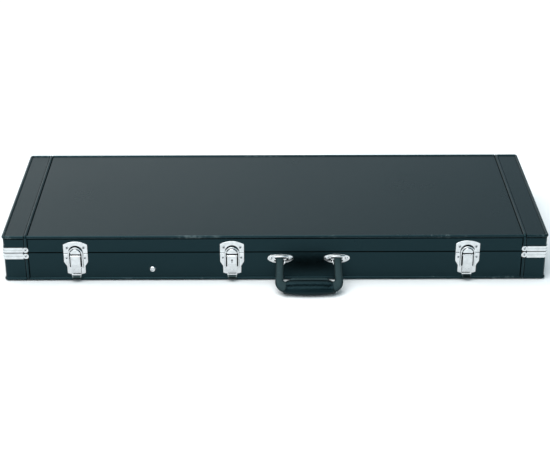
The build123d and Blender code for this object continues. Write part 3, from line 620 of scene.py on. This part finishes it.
# The right half of a bracket's flange, a dark panel painted as the shade in its opening, and its bridge and
# axle, all in millimetres.
RIGHT_LOBE = [(10.0, 34.2), (17.5, 36.6), (22.8, 40.0), (24.4, 43.6), (22.6, 48.2), (17.0, 50.6), (8.0, 51.8)]
FLANGE_MID = 43.4
OPENING_SHADE = [(-9.8, 37.0), (9.8, 37.0), (10.6, 43.0), (9.8, 48.6), (0.0, 49.6), (-9.8, 48.6), (-10.6, 43.0)]
BRIDGE_HALF, BRIDGE_TOP, BRIDGE_STEPS = 16.5, 51.9, 40
AXLE_P, AXLE_Z, AXLE_R = 5.6, 43.8, 1.3
for side, x in BRACKET_X.items():
    bracket = bmesh.new()
    loop = smooth_loop(RIGHT_LOBE + [(0.0, 52.2)] + [(-u, z) for u, z in RIGHT_LOBE[::-1]])
    rings = [
        [on_front(x, u * k, p, FLANGE_MID + (z - FLANGE_MID) * k) for u, z in loop]
        for p, k in ((0.0, 1.0), (0.7, 1.0), (1.05, 0.988), (1.2, 0.965))
    ]
    stacked(bracket, rings)
    rings = []
    for j in range(BRIDGE_STEPS + 1):
        u = -BRIDGE_HALF + 2 * BRIDGE_HALF * j / BRIDGE_STEPS
        out = 1.0 + 5.4 * max(0.0, 1 - abs(u / BRIDGE_HALF) ** 2.4)
        high = BRIDGE_TOP - 2.2 * abs(u / BRIDGE_HALF) ** 2
        section = (
            (0.6, high),
            (0.55 * (out - 0.6) + 0.6, high - 0.25),
            (out * 0.88 + 0.05, high - 1.0),
            (out, high - 2.2),
            (out, high - 3.6),
            (out - 0.25, high - 3.9),
            (max(out - 1.1, 0.4), high - 3.6),
            (max(out - 1.3, 0.3), high - 2.4),
            (0.3, high - 1.2),
        )
        rings.append([on_front(x, u, p, z) for p, z in section])
    stacked(bracket, rings)
    rod = [on_front(x, u, AXLE_P, AXLE_Z) for u in (-11.5, -11.0, 0.0, 11.0, 11.5)]
    tube_along(bracket, rod, AXLE_R * MM, 16)
    plate = as_mesh(bracket, f"bracket_plate_{side}")
    piece(f"bracket_plate_{side}", plate, CHROME, "base", 40, [f"handle_bracket_{side}"])
    # A dark panel on the flange: painted shade in the opening under the bridge.
    opening = bmesh.new()
    hole = smooth_loop(OPENING_SHADE)
    stacked(opening, [[on_front(x, u, p, z) for u, z in hole] for p in (1.1, 1.32)])
    piece(f"bracket_opening_shade_{side}", as_mesh(opening, f"bracket_opening_shade_{side}"), WELT_SHADE, "base", 40)


# ---------------------------------------------------------------- dark strips of painted shade beside the piping
def rounded_loop(offset, turn, steps=8):
    """Corner-rounded outline of the case in plan, offset outwards from the vinyl, in millimetres."""
    half_x, half_y = CASE_X + offset, CASE_Y + offset
    found = []
    for k, (sx, sy) in enumerate(((1, 1), (-1, 1), (-1, -1), (1, -1))):
        for j in range(steps + 1):
            a = math.pi / 2 * (k + j / steps)
            x = sx * (half_x - turn) + turn * math.cos(a)
            y = sy * (half_y - turn) + turn * math.sin(a)
            found.append((x, y))
    return found


# Millimetres from here to the grip.
CASE_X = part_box("base_end_cap_right")[1].x / MM
CASE_Y = REAR_Y / MM
TOP_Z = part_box("lid_covering")[1].z / MM
CORNER = 5.0
CORNER_MIN = 0.6
# The dark strips below are painted shade in the creases beside the piping and at the joint.
WELT_SHADE_PROUD = 0.16  # how far a dark strip stands off the vinyl, and how far its foot is sunk into it
WELT_SHADE_SUNK = 0.2
CORDS = (-471.0, 471.0)
CORD_HALF = 2.8
WELT_SHADE_INNER, WELT_SHADE_OUTER = 1.5, 1.1  # widths of the strips on the cord's inner and outer side
PIPING_WELT_SHADE = (3.5, 5.5)  # the strip under the lid's piping, measured down from its top


def hoop(bm, rings):
    """A closed strip: rings are (offset, height) corners of its section, swept round the case."""
    made = []
    for offset, z in rings:
        loop = rounded_loop(offset, max(CORNER + offset, CORNER_MIN))
        made.append([bm.verts.new(Vector((x * MM, y * MM, z * MM))) for x, y in loop])
    size, count = len(made[0]), len(made)
    for k in range(count):
        a, b = made[k], made[(k + 1) % count]
        for j in range(size):
            bm.faces.new((a[j], a[(j + 1) % size], b[(j + 1) % size], b[j]))


def bar(bm, x, y, z):
    """A straight strip between two X, Y and Z values in millimetres."""
    centre = Vector([(a + b) / 2 * MM for a, b in (x, y, z)])
    size = Vector([abs(b - a) * MM for a, b in (x, y, z)])
    bmesh.ops.create_cube(bm, size=1.0, matrix=Matrix.Translation(centre) @ Matrix.Diagonal((*size, 1.0)))


def band(bm, low, high, proud):
    """A flat strip round the case's walls between two heights."""
    hoop(bm, [(-WELT_SHADE_SUNK, low), (proud, low), (proud, high), (-WELT_SHADE_SUNK, high)])


# Each half: its flat face, the direction from there into the case, the edge of its corner clamps, and its
# dark line of painted shade beside the joint between lid and base.
HALVES = {"lid": (TOP_Z, -1, 68.3, (57.3, 58.15)), "base": (0.0, 1, 43.7, (55.85, 56.7))}
for half, (flat, into, clamp_edge, edge) in HALVES.items():
    # Dark strips under the lid's piping, beside the end cords and at the joint: painted shade.
    bm = bmesh.new()
    if half == "lid":
        band(bm, *(flat + into * d for d in PIPING_WELT_SHADE), WELT_SHADE_PROUD)
    out = flat - into * WELT_SHADE_PROUD
    for cord in CORDS:
        for s in (-1, 1):
            wide = WELT_SHADE_INNER if s * cord < 0 else WELT_SHADE_OUTER
            x = sorted((cord + s * CORD_HALF, cord + s * (CORD_HALF + wide)))
            bar(bm, x, (-CASE_Y + 4.0, CASE_Y - 4.0), sorted((out, flat + into * WELT_SHADE_SUNK)))
            for face in (-1, 1):
                y = sorted((face * (CASE_Y - WELT_SHADE_SUNK), face * (CASE_Y + WELT_SHADE_PROUD)))
                bar(bm, x, y, sorted((flat + into * 4.0, clamp_edge)))
    band(bm, *edge, WELT_SHADE_PROUD * 0.7)
    piece(f"{half}_welt_shades", as_mesh(bm, f"{half}_welt_shades"), WELT_SHADE, half, 40)

# ---------------------------------------------------------------- handle
HANDLE_X = sum(BRACKET_X.values()) / 2
AXLE = Vector((0.0, FRONT_Y - AXLE_P * MM, AXLE_Z * MM))
REST_TURN = Matrix.Rotation(math.radians(-58.0), 4, "X")
HANDLE_FRAME = Matrix.Translation(AXLE) @ REST_TURN @ Matrix.Translation((HANDLE_X, 0, 0))


def in_handle(x, s, n):
    """A point in millimetres: x along the handle, s from the axle in its plane, and n out of the plane."""
    return HANDLE_FRAME @ Vector((x * MM, -n * MM, -s * MM))


def strap_path():
    """Middle line of the strap as (x, s) points, left end first: a splayed leg, a bend, and the middle."""
    bend, mid, splay, start, low, sag = 13.5, 55.0, 1.2, -1.8, 46.0, 0.6
    leg = []
    for k in range(15):
        t = k / 14
        leg.append((-mid - splay * t * t, start + (low - start) * t))
    for k in range(1, 13):
        a = math.pi / 2 * k / 12
        leg.append((-mid - splay + bend - bend * math.cos(a), low + bend * math.sin(a)))
    half = mid + splay - bend
    middle = []
    for k in range(1, 13):
        middle.append((-half + 2 * half * k / 13, low + bend + sag * math.sin(math.pi * k / 13)))
    return leg + middle + [(-x, s) for x, s in leg[::-1]]


STRAP_POINTS = len(strap_path())


def strap_width(k):
    """How much wider the strap is at a point of its path than along its legs, as it runs into the grip."""
    k = min(k, STRAP_POINTS - 1 - k)
    t = min(1.0, max(0.0, (k - 12) / 14))
    return 1.0 + 0.58 * t * t * (3 - 2 * t)


def strap_section():
    """Half-round edges, a crowned face, and a sewn channel near each edge, as (across, out) points."""
    half, thick = 7.5, 2.5
    face = []
    for k in range(33):
        w = -half + 0.55 + (2 * half - 1.1) * k / 32
        crown = 0.42 * (1 - (w / half) ** 2)
        channel = 0.42 * math.exp(-(((abs(w) - 5.5) / 0.5) ** 2))
        edge = 0.75 * max(0.0, (abs(w) - 6.3) / 0.65) ** 2
        face.append((w, thick + crown - channel - edge * 0.9))
    back = [(w, -n) for w, n in face[::-1]]
    return face + [(half, 1.1), (half, -1.1)] + back + [(-half, -1.1), (-half, 1.1)]


def sweep(bm, path, section, width):
    """The section along the path in the handle's plane, scaled across by width(k) at point k."""
    count = len(path)
    rings = []
    for k, (x, s) in enumerate(path):
        x0, s0 = path[max(k - 1, 0)]
        x1, s1 = path[min(k + 1, count - 1)]
        run = math.hypot(x1 - x0, s1 - s0)
        dx, ds = (x1 - x0) / run, (s1 - s0) / run
        wide = width(k)
        rings.append([bm.verts.new(in_handle(x + w * wide * ds, s - w * wide * dx, n)) for w, n in section])
    size = len(section)
    for low_ring, high_ring in zip(rings, rings[1:]):
        for j in range(size):
            bm.faces.new((low_ring[j], low_ring[(j + 1) % size], high_ring[(j + 1) % size], high_ring[j]))
    bm.faces.new(rings[0][::-1])
    bm.faces.new(rings[-1])


strap = bmesh.new()
sweep(strap, strap_path(), strap_section(), strap_width)
cover = as_mesh(strap, "strap_cover")
piece("strap_cover", cover, STRAP, "handle", 60, ["handle_strap"])

wires = bmesh.new()
for s_x in (-1, 1):
    wire = [(45.4, -1.6), (45.2, 1.0), (45.2, 5.0), (45.6, 8.2), (46.6, 9.9), (48.2, 10.4)]
    tube_along(wires, [in_handle(s_x * u, s, 0.0) for u, s in wire], 1.15 * MM, 12)
end_wires = as_mesh(wires, "strap_end_wires")
piece("strap_end_wires", end_wires, CHROME, "handle", 50, ["handle_end_loops"])


def stitches(name, runs, body, pitch, length, radius):
    """Short raised threads along runs of points on the surface."""
    bm = bmesh.new()
    for run in runs:
        travelled, due = 0.0, pitch / 2
        for a, b in zip(run, run[1:]):
            step = (b - a).length
            while due <= travelled + step:
                middle = a.lerp(b, (due - travelled) / step)
                ahead = (b - a).normalized()
                thread = [middle + ahead * (length * t) for t in (-0.5, -0.36, 0.0, 0.36, 0.5)]
                tube_along(bm, thread, radius)
                due += pitch
            travelled += step
    piece(name, as_mesh(bm, name), THREAD, body)


def strap_line(offset):
    """The left leg and bend of the strap, moved sideways by offset."""
    path = strap_path()[1:23]
    line = []
    for k, (x, s) in enumerate(path):
        x0, s0 = path[max(k - 1, 0)]
        x1, s1 = path[min(k + 1, len(path) - 1)]
        run = math.hypot(x1 - x0, s1 - s0)
        reach = offset * strap_width(k + 1)
        line.append((x + reach * (s1 - s0) / run, s - reach * (x1 - x0) / run))
    return line


STITCH_OFFSET, STITCH_OUT = 5.5, 2.62
runs = []
for offset in (-STITCH_OFFSET, STITCH_OFFSET):
    line = strap_line(offset)
    for mirror in (1, -1):
        runs.append([in_handle(mirror * x, s, STITCH_OUT) for x, s in line])
stitches("strap_stitches", runs, "handle", 3.4 * MM, 2.3 * MM, 0.26 * MM)

GRIP_END, GRIP_TOP, GRIP_LOW = 49.0, 46.0, 72.6
# How far out along the grip its inner boundary starts to turn, stops turning, and reaches the end's slope.
GRIP_FLAT, GRIP_TURN, GRIP_SHOULDER = 36, 44, 44.5


def grip_plan(x):
    """Inner and outer boundary of the grip at x, in millimetres from the axle."""
    u = abs(x)
    if u <= GRIP_FLAT:
        top = GRIP_TOP
    elif u <= GRIP_TURN:
        top = GRIP_TOP + 7.0 * (1 - math.sqrt(max(0.0, 1 - ((u - GRIP_FLAT) / 8.2) ** 2)))
    elif u <= GRIP_SHOULDER:
        top = GRIP_TOP + 5.48 + (u - GRIP_TURN) / 0.5 * 13.0
    else:
        end = (u - GRIP_SHOULDER) / (GRIP_END - GRIP_SHOULDER)
        top = GRIP_TOP + 18.48 + end * (GRIP_LOW - GRIP_TOP - 19.6)
    low_edge = GRIP_LOW + 4.0 * (1 - (x / GRIP_END) ** 2)
    return top, max(low_edge, top + 0.6)


def grip_height(x, s, side):
    """How far the grip stands off its middle plane at (x, s): two padded lobes and a puckered seam."""
    top, low_edge = grip_plan(x)
    t = min(1.0, max(0.0, (s - top) / (low_edge - top)))
    full = 11.6 * (1 - 0.30 * (abs(x) / GRIP_END) ** 2.6)
    if abs(x) > GRIP_TURN:
        full *= 1 - 0.62 * ((abs(x) - GRIP_TURN) / (GRIP_END - GRIP_TURN)) ** 1.2
    round_off = max(0.0, 1 - abs(2 * t - 1) ** 2.7) ** 0.5
    height = full * round_off
    if side > 0:
        pucker = 0.45 * math.sin(x * 0.9) + 0.3 * math.sin(x * 0.37 + 1.0)
        seam = 62.0 + pucker
        fade = min(1.0, max(0.0, (45 - abs(x)) / 5))
        height -= fade * 3.0 * math.exp(-(((s - seam) / 1.25) ** 2))
        ripple = 0.6 + 0.4 * math.sin(x * 0.9 + 0.6)
        height -= fade * 0.55 * math.exp(-(((s - seam - 3.4) / 0.9) ** 2)) * ripple
        if s > seam:
            height -= fade * 1.1 * min(1.0, (s - seam) / 3.0)
        height -= 0.6 * math.exp(-(((s - 70.4 - 2.2 * (1 - (x / GRIP_END) ** 2)) / 0.55) ** 2))
        height += 0.22 * noise.noise(Vector((x * 0.16, s * 0.3, 2.0)))
    else:
        height += 0.35 * noise.noise(Vector((x * 0.12, s * 0.25, 9.0)))
    return height


def grip_mesh():
    """The grip's cover, front and back sides meeting along its boundary."""
    bm = bmesh.new()
    across, along = 56, 132
    rings = []
    for k in range(along + 1):
        x = -GRIP_END * math.cos(math.pi * k / along)
        top, low_edge = grip_plan(x)
        ring = []
        for side in (1, -1):
            order = range(across + 1) if side > 0 else range(across - 1, 0, -1)
            for j in order:
                t = 0.5 - 0.5 * math.cos(math.pi * j / across)
                s = top + (low_edge - top) * t
                ring.append(bm.verts.new(in_handle(x, s, side * grip_height(x, s, side))))
        rings.append(ring)
    size = len(rings[0])
    for a, b in zip(rings, rings[1:]):
        for j in range(size):
            bm.faces.new((a[j], a[(j + 1) % size], b[(j + 1) % size], b[j]))
    bm.faces.new(rings[0][::-1])
    bm.faces.new(rings[-1])
    return as_mesh(bm, "grip_cover")


grip = piece("grip_cover", grip_mesh(), GRIP, "handle", 75, ["handle_grip"])


def flange_mesh():
    """The two layers of the grip's cover sewn together along its inner side, as a thin rounded lip."""
    bm = bmesh.new()
    rings = []
    half, straight, inner, outer = 42.0, 29.0, 40.4, 52.0
    steps, around = 60, 20
    for k in range(steps + 1):
        x = -half + 2 * half * k / steps
        u = abs(x)
        reach = inner
        if u >= straight:
            reach += 8.0 * (1 - math.cos(min(1.0, (u - straight) / (half - straight)) * math.pi / 2))
        reach += 0.12 * math.sin(x * 1.3)
        ring = []
        for j in range(around):
            a = 2 * math.pi * j / around
            ca, sa = math.cos(a), math.sin(a)
            s = (reach + outer) / 2 - (outer - reach) / 2 * math.copysign(abs(ca) ** 0.35, ca)
            ring.append(bm.verts.new(in_handle(x, s, -0.2 + 1.25 * math.copysign(abs(sa) ** 0.7, sa))))
        rings.append(ring)
    for a, b in zip(rings, rings[1:]):
        for j in range(around):
            bm.faces.new((a[j], a[(j + 1) % around], b[(j + 1) % around], b[j]))
    bm.faces.new(rings[0][::-1])
    bm.faces.new(rings[-1])
    return as_mesh(bm, "grip_flange")


# The flange is the grip's own cover, given the lighter strap finish as a painted highlight along its lip.
piece("grip_flange", flange_mesh(), STRAP, "handle", 60)
seam_runs = [[in_handle(x, 42.6, 1.02) for x in range(-29, 30, 2)]]
stitches("grip_stitches", seam_runs, "handle", 3.2 * MM, 2.1 * MM, 0.24 * MM)


# ---------------------------------------------------------------- padded plush inside
def copy_of(node_name, name):
    """The CAD node's mesh as a new object."""
    source = nodes[node_name]
    mesh = source.data.copy()
    mesh.name = name
    made = bpy.data.objects.new(name, mesh)
    bpy.context.scene.collection.objects.link(made)
    return made


def applied(obj):
    """The object's mesh with its modifiers in it."""
    graph = bpy.context.evaluated_depsgraph_get()
    mesh = bpy.data.meshes.new_from_object(obj.evaluated_get(graph))
    old = obj.data
    obj.modifiers.clear()
    obj.data = mesh
    bpy.data.meshes.remove(old)


CLOTH_FRAMES = 20


def stuffed(node_name, name, body, voxel, shrink, cap, smooth=6):
    """A plush pad in the place of a CAD solid: remeshed, swollen by a cloth simulation, and smoothed.

    It starts shrink inside the solid, and no point ends more than cap from its start. Most points of the
    cradles and the neck rest stay within their cap. In the floor, wall and lid linings the simulation runs
    far past it at nearly every point, so there it gives a direction and the cap sets the distance.
    """
    made = copy_of(node_name, name)
    remesh = made.modifiers.new("remesh", "REMESH")
    remesh.mode = "VOXEL"
    remesh.voxel_size = voxel
    applied(made)
    start = [v.co - v.normal * shrink for v in made.data.vertices]
    for v, place in zip(made.data.vertices, start):
        v.co = place
    cloth = made.modifiers.new("cloth", "CLOTH")
    cloth.settings.quality = 4
    cloth.settings.use_pressure = True
    cloth.settings.uniform_pressure_force = 4.0
    cloth.settings.effector_weights.gravity = 0.0
    cloth.collision_settings.use_collision = False
    cloth.point_cache.frame_start, cloth.point_cache.frame_end = 1, CLOTH_FRAMES
    for step in range(1, CLOTH_FRAMES + 1):
        bpy.context.scene.frame_set(step)
    applied(made)
    bpy.context.scene.frame_set(1)
    for v, s in zip(made.data.vertices, start):
        move = v.co - s
        if move.length > cap:
            v.co = s + move * (cap / move.length)
    soft = made.modifiers.new("soft", "SMOOTH")
    soft.factor, soft.iterations = 0.5, smooth
    rounder = made.modifiers.new("rounder", "SUBSURF")
    rounder.levels = rounder.render_levels = 1
    applied(made)
    made.data.materials.clear()
    made.data.materials.append(PLUSH)
    made.data.polygons.foreach_set("use_smooth", [True] * len(made.data.polygons))
    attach(made, body)
    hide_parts(node_name)


stuffed("base_floor_lining", "floor_pad", "base", 5.0 * MM, 0.8 * MM, 2.2 * MM, 3)
stuffed("base_wall_lining", "wall_pad", "base", 4.0 * MM, 0.4 * MM, 1.2 * MM, 2)
stuffed("lid_lining", "lid_pad", "lid", 5.0 * MM, 0.6 * MM, 2.0 * MM, 3)
stuffed("body_cradle_front", "cradle_pad_front", "base", 5.0 * MM, 2.0 * MM, 5.0 * MM)
stuffed("body_cradle_rear", "cradle_pad_rear", "base", 5.0 * MM, 2.0 * MM, 5.0 * MM)
stuffed("neck_rest", "neck_rest_pad", "base", 4.0 * MM, 2.0 * MM, 5.0 * MM)


# ---------------------------------------------------------------- floor, world and lights
def stage_plane(name, size, z):
    bm = bmesh.new()
    bmesh.ops.create_grid(bm, x_segments=8, y_segments=8, size=size / 2)
    mesh = as_mesh(bm, name)
    made = bpy.data.objects.new(name, mesh)
    bpy.context.scene.collection.objects.link(made)
    made.location.z = z
    floor_material, tree, shader = new_material("pale_floor")
    where = node(tree, "ShaderNodeTexCoord").outputs["Object"]
    clouds = node(tree, "ShaderNodeTexNoise", Vector=where, Scale=3.0, Detail=2.0)
    colour = ramp(tree, clouds.outputs["Fac"], [(0.2, grey(0.93)), (0.8, grey(0.95))])
    tree.links.new(colour, shader.inputs["Base Color"])
    shader.inputs["Roughness"].default_value = 0.9
    shader.inputs["Specular IOR Level"].default_value = 0.1
    mesh.materials.append(floor_material)


stage_plane("floor", 40.0, GROUND_Z)

world = bpy.data.worlds.new("studio")
bpy.context.scene.world = world
world.use_nodes = True
sky = world.node_tree
direction = node(sky, "ShaderNodeTexCoord").outputs["Generated"]
parts = node(sky, "ShaderNodeSeparateXYZ", Vector=direction)
side = math_node(sky, "MULTIPLY_ADD", parts.outputs["X"], 0.5, 0.5)
tones = ramp(sky, side, [(0.38, (0.86, 0.93, 0.95)), (0.62, (0.30, 0.42, 0.47))])
sky.links.new(tones, sky.nodes["Background"].inputs["Color"])
sky.nodes["Background"].inputs["Strength"].default_value = 1.15


def softbox(name, place, aim, size, power):
    data = bpy.data.lights.new(name, "AREA")
    data.shape = "RECTANGLE"
    data.size, data.size_y = size
    data.energy = power
    made = bpy.data.objects.new(name, data)
    bpy.context.scene.collection.objects.link(made)
    made.location = place
    made.rotation_euler = (Vector(aim) - Vector(place)).to_track_quat("-Z", "Y").to_euler()


softbox("overhead", (-0.7, -0.6, 3.4), (0, -0.2, 0), (4.0, 4.0), 125.0)
